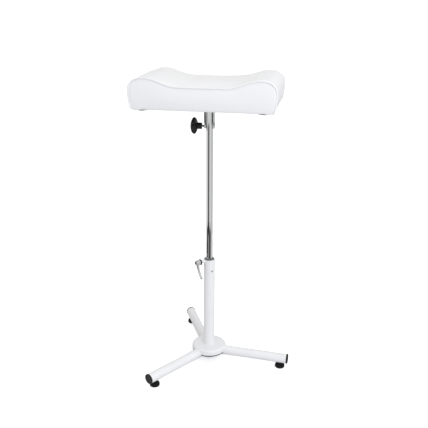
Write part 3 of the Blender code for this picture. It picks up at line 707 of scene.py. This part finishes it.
chrome = finish(
    "polished_chrome", hairline, 420.0, ((0.86, 0.865, 0.87), (0.91, 0.915, 0.92)), (0.035, 0.075), 0.000002,
    (1, 1, 0.05), Metallic=1.0,
)
post_low, post_high = np.array(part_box("post_tube"))
post_radius = (post_high - post_low)[0] / 2
post_bore = post_radius - 0.0015
post_edge = 0.0004
post_grid = tube(post_radius, post_bore, post_low[2], post_high[2], post_edge, floor_spot, steps=128)
piece("chrome_post", [post_grid], chrome, "post", "chrome", "post_tube")
natural_nylon = finish(
    "natural_nylon", peel, 900.0, ((0.74, 0.73, 0.67), (0.80, 0.79, 0.74)), (0.42, 0.55), 0.00003,
    Subsurface_Weight=0.1,
)
coat(natural_nylon, "post_guide")
coat(zinc_steel, "post_end_plug")
coat(moulded_black, "post_top_cap")

# Tilt bracket: one bent steel sheet, zinc plated, a plate under the board with two ears beside the post.
# Its edges are broken by tumbling, and four pan-head screws hold it up through the lining into the board.

bracket_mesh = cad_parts["tilt_bracket"].data.copy()
bracket_mesh.materials.clear()
bending = bmesh.new()
bending.from_mesh(bracket_mesh)
bmesh.ops.remove_doubles(bending, verts=bending.verts, dist=0.00002)
bmesh.ops.dissolve_limit(bending, angle_limit=radians(1), verts=bending.verts, edges=bending.edges)
bending.to_mesh(bracket_mesh)
bending.free()
bracket_mesh.shade_smooth()
bracket_mesh.set_sharp_from_angle(angle=sharp_edge)
bright_zinc = finish(
    "bright_zinc_plate", hairline, 600.0, ((0.76, 0.77, 0.78), (0.86, 0.865, 0.87)), (0.10, 0.20), 0.000006,
    (1, 0.2, 1), Metallic=1.0,
)
bent_bracket = piece("bent_bracket", bracket_mesh, bright_zinc, "head", "zinc_steel", "tilt_bracket")
broken_edge = bent_bracket.modifiers.new("broken_edge", "BEVEL")
broken_edge.width = 0.0005
broken_edge.segments = 2
broken_edge.limit_method = "ANGLE"
broken_edge.angle_limit = sharp_edge

head_radius = 0.00425
head_rise = 0.0022
for number in range(1, 5):
    solid = f"bracket_screw_{number}"
    screw_low, screw_high = np.array(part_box(solid))
    head_spot = (*(screw_low + screw_high)[:2] / 2, screw_low[2] + head_rise)
    plate_screw = pan_head(head_radius, head_rise, head_spot, (0, 0, -1), shank=0.00225, length=0.0145)
    piece(f"plate_screw_{number}", plate_screw, zinc_steel, "head", "zinc_steel", solid)

# Tilt stud and washer: a threaded steel stud through both ears and the post, moulded into the knob, with a
# plain washer under the knob's side of the bracket. The thread is rolled, a millimetre to a turn.

stud_low, stud_high = np.array(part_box("tilt_stud"))
stud_radius = (stud_high - stud_low)[2] / 2
tilt_spot = np.array([axis_x, axis_y, (stud_low + stud_high)[2] / 2])
knob_way = np.array([-1.0, 0, 0])
thread_pitch = 0.001
thread_depth = 0.0005


def threaded(low, high, foot, axis):
    """A thread: a grid of turn and height whose radius falls to the root and back once for each pitch of
    height, set back by a pitch for each turn, run out at both ends and closed there."""
    rows = 12 * int(round((high - low) / thread_pitch))
    height = np.concatenate([[low], np.linspace(low, high, rows), [high]])[:, None]
    angle = np.linspace(0, 2 * np.pi, 49)[None, :]
    phase = (height / thread_pitch - angle / (2 * np.pi)) % 1.0
    run_out = np.clip(np.minimum(height - low, high - height) / thread_pitch, 0, 1)
    radius = stud_radius - thread_depth * (1 - np.clip(1.3 * abs(2 * phase - 1), 0, 1)) * run_out
    radius[[0, -1]] = 0
    return about(foot, axis, height, radius, angle)


stud_grid = threaded(axis_x - stud_high[0], axis_x - stud_low[0], tilt_spot, knob_way)
piece("threaded_stud", [stud_grid], zinc_steel, "knob", "zinc_steel", "tilt_stud")
washer_near, washer_far = axis_x - np.array(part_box("tilt_washer"))[::-1, 0]
washer_rim = 0.00675
stud_hole = 0.0033
washer_edges = [0.0005, 0.0002, 0.0002, 0.0003]
washer_grid = tube(washer_rim, stud_hole, washer_near, washer_far, washer_edges, tilt_spot, knob_way)
piece("plain_washer", [washer_grid], zinc_steel, "knob", "zinc_steel", "tilt_washer")

# Knob: a black plastic moulding on the stud's end, a collar that flares into a wide head with finger grooves
# round its rim and a domed face.

knob_foot, knob_apex = axis_x - np.array(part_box("tilt_knob"))[::-1, 0]
knob_rim = 0.0225
knob_collar = 0.00865
knob_flare = 0.004
edge_round = 0.0030
knob_rim_tall = 0.004
collar_high = knob_foot + 0.0125
rim_low = collar_high + knob_flare
rim_high = rim_low + knob_rim_tall
dome_turn = np.linspace(0, np.pi / 2, 22)
dome_z = rim_high + (knob_apex - rim_high) * np.cos(dome_turn)
dome = joined(knob_rim * np.sin(dome_turn), dome_z)
edge_turn = np.linspace(0, np.pi / 2, 8)[1:]
edge_r = knob_rim - edge_round * (1 - np.cos(edge_turn))
edge_z = rim_high - (rim_high - rim_low) * np.sin(edge_turn)
knob_edge = joined(edge_r, edge_z)
flare_share = np.linspace(1, 0, 16)[1:]
flare_r = knob_collar + (knob_rim - edge_round - knob_collar) * flare_share
flare = joined(flare_r, collar_high + knob_flare * flare_share**2.0)
collar = eased(
    [(knob_collar, collar_high), (knob_collar, knob_foot), (stud_hole, knob_foot), (0, knob_foot)],
    [0.0012, 0.0008, 0, 0],
)
knob_profile = np.concatenate([dome, knob_edge, flare, collar])
grooves = 8
groove_depth = 0.092
groove_from = 0.010


def ramp(value, low, high):
    """Share of the way from a low value to a high one, held at nothing below and at one above."""
    return np.clip((value - low) / (high - low), 0, 1)


def finger_grooves(radius, angle):
    """Share of the radius that is left: round grooves, deepest at the rim and gone towards the collar."""
    groove = (0.5 - 0.5 * np.cos(grooves * angle)) ** 2.4
    return 1 - groove_depth * groove * ramp(radius, groove_from, knob_rim) ** 1.5


knob_grid = turned(knob_profile, tilt_spot, knob_way, steps=160, lobes=finger_grooves)
piece("fluted_knob", [knob_grid], moulded_black, "knob", "black_plastic", "tilt_knob")

# Board: birch plywood sawn to size, which the foam is glued on and the cover is stapled under.
# Its edges show the layers, and its faces a fine grain along the board.

ply_layer = 0.0017
ply, ply_place, ply_scale, ply_out = new_grain("plywood_layers")
ply_split = node(ply, "ShaderNodeSeparateXYZ", Vector=ply_place)
ply_layers = ply.nodes.new("ShaderNodeMath")
ply_layers.operation = "PINGPONG"
ply.links.new(ply_split.outputs["Z"], ply_layers.inputs[0])
ply_layers.inputs[1].default_value = ply_layer
ply_grain = noise(ply, ply_place, ply_scale, Detail=5.0, Roughness=0.6)
ply_tone = sum_of(ply, ply_layers.outputs["Value"], 250.0, sum_of(ply, ply_grain, 0.6))
feed(ply, ply_out, Tone=ply_tone, Height=ply_grain)
plywood = finish(
    "birch_plywood", ply, 180.0, ((0.50, 0.36, 0.20), (0.72, 0.57, 0.38)), (0.60, 0.78), 0.0001, (0.08, 1, 1)
)
coat(plywood, "seat_board")

# Cushion: foam on the board in a stretched cover of white artificial leather, two humps and a dip for a foot.
# The cover is a front and a back panel and one strip over the top and both ends, sewn with piping between.

half_width = 0.1857
seam_depth = 0.1135
crest = 0.0787
crest_x = 0.150
dip = 0.058
dip_flat = 0.058
shoulder = 0.027
lower_rise = 0.034
lower_inset = 0.0105
lower_half = half_width - lower_inset
lower_curve = 3.4
end_middle = 0.043
panel_crown = 0.0040
panel_pull = 0.0012
pull_width = 0.06
dip_crown = 0.0115
fullness = 0.75
middle_flat = 0.022
crest_crown = 0.0005
shoulder_crown = 0.0050
end_crown = 0.0022
end_fold = 0.0011
end_folds = ((-0.072, 0.005, 2.2), (-0.020, 0.009, 0.8), (0.030, 0.006, 1.2), (0.074, 0.008, 1.0))
seam_dip = 0.0010
seam_dip_width = 0.005
corner_lobe = 0.0022
lobe_x = 0.1665
lobe_width = 0.008
pocket = 0.0127
pocket_edge = 0.1003
pocket_end = 0.1655
pocket_wall = 0.0018
pocket_end_wall = 0.003
pocket_foot = 0.0019
pocket_foot_half = 0.001
row_room = 0.002
columns = 151
panel_rows = 20
strip_rows = 46

cushion_spot = np.array([axis_x, axis_y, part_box("cushion")[0][2]])


def resampled(line, count):
    """Points at even steps along a line of points."""
    step = np.linalg.norm(np.diff(line, axis=0), axis=1)
    place = np.concatenate([[0], np.cumsum(step)])
    even = np.linspace(0, place[-1], count)
    return joined(np.interp(even, place, line[:, 0]), np.interp(even, place, line[:, 1]))


def bell(away, width):
    """A bell curve: one at no distance away, and less by the square of the distance over the width."""
    return np.exp(-((away / width) ** 2))


def lobe(x):
    """How far the gathered cover hangs at a place along the bottom: a bell at each lower corner."""
    return corner_lobe * bell(abs(x) - lobe_x, lobe_width)


def outline(end_x, end_z, x, z):
    """Even points from the left end's middle to the right end's: a curve at the right end, points between the
    ends, and the curve's mirror image at the left end."""
    right = joined(end_x, end_z)
    left = right[::-1] * (-1, 1)
    middles = np.array([(half_width, end_middle), (-half_width, end_middle)])
    line = np.concatenate([middles[:1], right, joined(x, z), left, middles[1:]])
    return resampled(line[::-1], columns)


def upper_outline():
    """The panel's outline over the top: up the end, round its shoulder by a quarter of an ellipse, and over
    crest, dip and crest by a smooth step between the dip's height and the crest's."""
    turn = np.linspace(0, np.pi / 2, 30)
    round_x = crest_x + (half_width - crest_x) * np.cos(turn)
    round_z = crest - shoulder + shoulder * np.sin(turn)
    x = np.linspace(crest_x, -crest_x, 161)[1:-1]
    rise = ramp(abs(x), dip_flat, crest_x)
    step = rise**2 * (3 - 2 * rise) / 2 + rise**3 * (10 - 15 * rise + 6 * rise**2) / 2
    return outline(round_x, round_z, x, dip + (crest - dip) * step)


def lower_outline():
    """The panel's outline along the bottom: drawn in under the end by a power curve, then level, with a small
    lobe of gathered cover at each lower corner."""
    share = np.linspace(1, 0, 40)
    round_x = lower_half + lower_inset * share
    round_z = lower_rise * share**lower_curve
    x = np.linspace(lower_half, -lower_half, 161)[1:-1]
    return outline(round_x, round_z - lobe(round_x), x, -lobe(x))


def outward(line):
    """Directions square to a line of points, to the left of the way along it."""
    heading = np.gradient(line, axis=0)
    heading = heading / np.linalg.norm(heading, axis=1, keepdims=True)
    return joined(-heading[:, 1], heading[:, 0])


upper = upper_outline()
lower = lower_outline()
upper_out = outward(upper)
lower_out = -outward(lower)
upper_out[[0, -1]] = lower_out[[0, -1]] = [(-1, 0), (1, 0)]


def carried(line, out, depth, lift):
    """A line of points carried to every depth, and lifted there along its outward directions."""
    x = line[None, :, 0] + lift * out[None, :, 0]
    z = line[None, :, 1] + lift * out[None, :, 1]
    return joined(x, depth, z)


def strip_depths():
    """Depths of the strip's rows, closer towards the seams, with a pair at either wall of the board's pocket
    in place of the rows that come near it."""
    even = np.linspace(-1, 1, strip_rows)
    rows = seam_depth * (0.55 * even + 0.45 * np.sin(np.pi / 2 * even))
    rows = rows[abs(abs(rows) - pocket_edge - pocket_foot_half) > row_room]
    wall = np.array([pocket_edge, pocket_edge + pocket_foot])
    return np.sort(np.concatenate([rows, wall, -wall]))


def cushion_grid():
    """Loops round the cushion, one for each step along both outlines: up the front panel, back over the
    strip, down the back panel and forward along the underside. The panels and the strip swell between their
    seams by a power of a parabola, the strip up to its own softer dip along the middle, and the underside is
    raised over the board."""
    rise = 1 - (np.linspace(1, 0, panel_rows) ** 1.5)[:, None]
    height = (1 - rise[..., None]) * lower[None] + rise[..., None] * upper[None]
    tall = np.clip((upper - lower)[:, 1] / dip, 0, 1)[None, :]
    pull = panel_pull * bell(1 - rise, pull_width) * np.clip(np.sin(np.pi * rise), 0, 1) ** 0.5
    swell = (panel_crown * (4 * rise * (1 - rise)) ** 0.8 - pull) * tall
    front = joined(height[..., 0], -seam_depth - swell, height[..., 1])
    back = (front * (1, -1, 1))[::-1]

    depth = strip_depths()[:, None]
    across = (depth / seam_depth + 1) / 2
    arch = 1 - (depth / seam_depth) ** 2
    ends = ramp(abs(upper[:, 0]), crest_x, half_width)
    humps = ramp(abs(upper[:, 0]), middle_flat, crest_x)
    middle = dip + dip_crown + (crest + crest_crown - dip - dip_crown) * humps**2 * (3 - 2 * humps)
    crown = np.where(ends > 0, crest_crown + (end_crown - crest_crown) * ends**2, middle - upper[:, 1])
    crown = crown + (shoulder_crown - end_crown) * np.sin(np.pi * ends) ** 1.5
    folds = sum(deep * bell(depth - place, wide) for place, wide, deep in end_folds)
    bulge = crown[None, :] * arch**fullness - end_fold * folds * ends[None, :] ** 6
    from_seam = seam_depth - abs(depth)
    seam_pull = -seam_dip * bell(from_seam, seam_dip_width) * np.sin(np.pi * across) ** 0.5
    top = carried(upper, upper_out, depth, bulge + seam_pull)

    low_end = np.clip(lower[:, 1] / end_middle, 0, 1)[None, :] ** 0.7
    low_lift = (end_crown * arch**fullness - end_fold * folds + seam_pull) * low_end
    inside = np.clip((pocket_edge + pocket_wall - abs(depth)) / pocket_wall, 0, 1)
    inside = inside * np.clip((pocket_end + pocket_end_wall - abs(lower[None, :, 0])) / pocket_end_wall, 0, 1)
    under = carried(lower, lower_out, depth, low_lift)
    under[..., 2] += lobe(lower[None, :, 0]) * (1 - bell(from_seam, seam_dip_width)) * (1 - low_end)
    under[..., 2] += pocket * inside
    return cushion_spot + np.concatenate([front, top, back, under[::-1], front[:1]])


# Pebbled grain of the leather: rounded cells with wandering borders, fine pores, and soft patches of tone.
pebble, pebble_place, pebble_scale, pebble_out = new_grain("leather_pebble")
pebble_wander = 0.0008
pebble_broad = sum_of(pebble, pebble_scale, 0.6)
pebble_warp = node(pebble, "ShaderNodeTexNoise", Vector=pebble_place, Scale=pebble_broad)
pebble_shift = pebble.nodes.new("ShaderNodeVectorMath")
pebble_shift.operation = "MULTIPLY_ADD"
pebble.links.new(pebble_warp.outputs["Color"], pebble_shift.inputs[0])
pebble_shift.inputs[1].default_value = (pebble_wander, pebble_wander, pebble_wander)
pebble.links.new(pebble_place, pebble_shift.inputs[2])
pebble_cell = node(pebble, "ShaderNodeTexVoronoi", Vector=pebble_shift.outputs["Vector"], Scale=pebble_scale)
pebble_cell.feature = "SMOOTH_F1"
pebble_border = pebble_cell.outputs["Distance"]
pebble_pore = noise(pebble, pebble_place, sum_of(pebble, pebble_scale, 2.6))
pebble_soft = noise(pebble, pebble_place, sum_of(pebble, pebble_scale, 0.012))
pebble_height = sum_of(pebble, pebble_border, -1.0, sum_of(pebble, pebble_pore, 0.3))
pebble_tone = sum_of(pebble, pebble_border, -0.5, sum_of(pebble, pebble_soft, 0.6, 0.45))
feed(pebble, pebble_out, Tone=pebble_tone, Height=pebble_height)

white_leather = finish(
    "white_artificial_leather", pebble, 700.0, ((0.820, 0.820, 0.826), (0.865, 0.865, 0.870)), (0.40, 0.52),
    0.00008, Sheen_Weight=0.05,
)
cushion_mesh = skin("leather_cushion", cushion_grid())
cushion_mesh.set_sharp_from_angle(angle=radians(180))
board_room = 0.0005
cover_steps = 20
cover_way = 0.006


def points_of(mesh):
    """A mesh's points, one to a row."""
    points = np.empty(len(mesh.vertices) * 3)
    mesh.vertices.foreach_get("co", points)
    return points.reshape(-1, 3)


def settled(mesh):
    """The cover blown up by the foam's push: a cloth held along its seams and under the board, under pressure
    for some steps. Each point's way is kept, and cut where it is longer than the cover may move."""
    points = points_of(mesh)
    place = points - cushion_spot
    on_seam = abs(abs(place[:, 1]) - seam_depth) < 2 * together
    under_board = place[:, 2] < pocket + board_room
    trial = bpy.data.objects.new("cover_trial", mesh)
    scene.collection.objects.link(trial)
    pins = trial.vertex_groups.new(name="held")
    pins.add(np.flatnonzero(on_seam | under_board).tolist(), 1.0, "REPLACE")
    cloth = trial.modifiers.new("cover", "CLOTH")
    cover = cloth.settings
    cover.quality = 6
    cover.mass = 0.4
    cover.tension_stiffness = 25
    cover.compression_stiffness = 25
    cover.shear_stiffness = 10
    cover.bending_stiffness = 2
    cover.vertex_group_mass = "held"
    cover.use_pressure = True
    cover.uniform_pressure_force = 3.0
    cover.effector_weights.gravity = 0
    cloth.point_cache.frame_start = 1
    cloth.point_cache.frame_end = cover_steps
    for step in range(cover_steps):
        scene.frame_set(step + 1)
    graph = bpy.context.evaluated_depsgraph_get()
    blown = trial.evaluated_get(graph)
    way = points_of(blown.to_mesh()) - points
    blown.to_mesh_clear()
    scene.frame_set(1)
    bpy.data.objects.remove(trial, do_unlink=True)
    length = np.linalg.norm(way, axis=1, keepdims=True)
    way = way * np.minimum(1, cover_way / np.maximum(length, 1e-9))
    mesh.vertices.foreach_set("co", (points + way).ravel())
    mesh.update()


settled(cushion_mesh)
leather_cushion = piece("leather_cushion", cushion_mesh, white_leather, "head", "white_leather", "cushion")
cushion_round = leather_cushion.modifiers.new("even", "SUBSURF")
cushion_round.levels = 1
cushion_round.render_levels = 1

# Piping: a cord in a folded strip of the same leather, sewn into the seams of the front and the back panel.
# It runs from one lower corner up the end, over the top and down to the other, its ends tucked under.

piping_radius = 0.0023
piping_steps = 420
piping_taper = 3
piping_proud = 0.0010
half = columns // 2
left_end = lower[:half][lower[:half, 0] < -lower_half][::-1]
right_end = lower[half:][lower[half:, 0] > lower_half]
piping_line = resampled(np.concatenate([left_end, upper[1:-1], right_end[::-1]]), piping_steps)
from_start = np.arange(piping_steps)
from_end = np.minimum(from_start, from_start[::-1])
piping_size = piping_radius * np.sqrt(np.clip(from_end / piping_taper, 0, 1))
for name, side, proud in (("front_piping", -1, 0.0004), ("back_piping", 1, -0.0008)):
    lifted = piping_line + proud * outward(piping_line)
    piping_path = cushion_spot + joined(lifted[:, 0], side * (seam_depth + piping_proud), lifted[:, 1])
    piping_grid = swept(piping_path, piping_size, (0, 1, 0), steps=14)
    piece(name, [piping_grid], white_leather, "head", "white_leather")

# Lining: a thin black non-woven cloth under the board, its long edges folded in and stapled over the cover's
# edge. It hangs a little slack, most at the corners.

fibre, fibre_place, fibre_scale, fibre_out = new_grain("pressed_fibre")
fibre_tangle = noise(fibre, fibre_place, fibre_scale, Detail=6.0, Distortion=2.5)
fibre_dots = node(fibre, "ShaderNodeTexVoronoi", Vector=fibre_place, Scale=sum_of(fibre, fibre_scale, 0.9))
fibre_height = sum_of(fibre, fibre_dots.outputs["Distance"], 0.6, fibre_tangle)
feed(fibre, fibre_out, Tone=fibre_tangle, Height=fibre_height)
black_lining = finish(
    "black_nonwoven_lining", fibre, 900.0, ((0.012, 0.012, 0.013), (0.040, 0.040, 0.042)), (0.85, 0.97),
    0.00012,
)
lining_half_x = 0.1690
lining_half_y = 0.1035
lining_hem = 0.008
lining_gap = 0.0005
hem_drop = 0.0007
hem_rows = 6
sheet_rows = 61
lining_slack = 0.0004
corner_slack = 0.0026
corner_place = 0.93
corner_width = 0.09


def lining_grid():
    """A profile across the sheet carried along its length: in from the hem's edge to the fold, over the
    board's underside and round the other fold. It hangs by a sine across and a bell at the corners."""
    hem = np.linspace(lining_half_y - lining_hem, lining_half_y, hem_rows)
    sheet = np.linspace(-lining_half_y, lining_half_y, sheet_rows)[1:-1]
    across = np.concatenate([-hem, sheet, hem[::-1]])[:, None]
    folded = np.full(hem_rows, -hem_drop)
    layer = np.concatenate([folded, np.zeros(len(sheet)), folded])[:, None]
    along = np.linspace(-1, 1, 101)[None, :]
    share = across / lining_half_y
    slack = lining_slack * np.cos(np.pi / 2 * share) * np.cos(np.pi / 2 * along) ** 0.5
    corner = corner_slack * abs(share) ** 10 * bell(abs(along) - corner_place, corner_width)
    height = -lining_gap + layer - slack - corner
    return cushion_spot + joined(lining_half_x * along, across, height)


lining = piece("slack_lining", [lining_grid()], black_lining, "head", "lining", "underside_lining")
lining_cloth = lining.modifiers.new("cloth", "SOLIDIFY")
lining_cloth.thickness = 0.0003
lining_cloth.offset = 0.0

staple_half = 0.005
staple_wire = 0.0004
staple_leg = 0.0016
staple_drop = 0.0012
staple_inset = 0.004
staple_bend = 0.85
staple_places = np.linspace(-0.15, 0.15, 11)


def staple(x, side):
    """A staple's bar: a thin ring carried along a short level line, bent up into the board at both ends."""
    along = np.linspace(-1, 1, 9)
    bar_x = x + staple_half * np.clip(along, -staple_bend, staple_bend) / staple_bend
    bar_y = side * (lining_half_y - staple_inset)
    bar_z = -lining_gap - staple_drop + staple_leg * np.clip((abs(along) - 0.8) / 0.2, 0, 1)
    size = np.concatenate([[0], np.full(7, staple_wire), [0]])
    return cushion_spot + swept(joined(bar_x, bar_y, bar_z), size, (0, 1, 0), steps=6)


staples = [staple(x, side) for side in (-1, 1) for x in staple_places]
piece("lining_staples", staples, zinc_steel, "head", "zinc_steel")
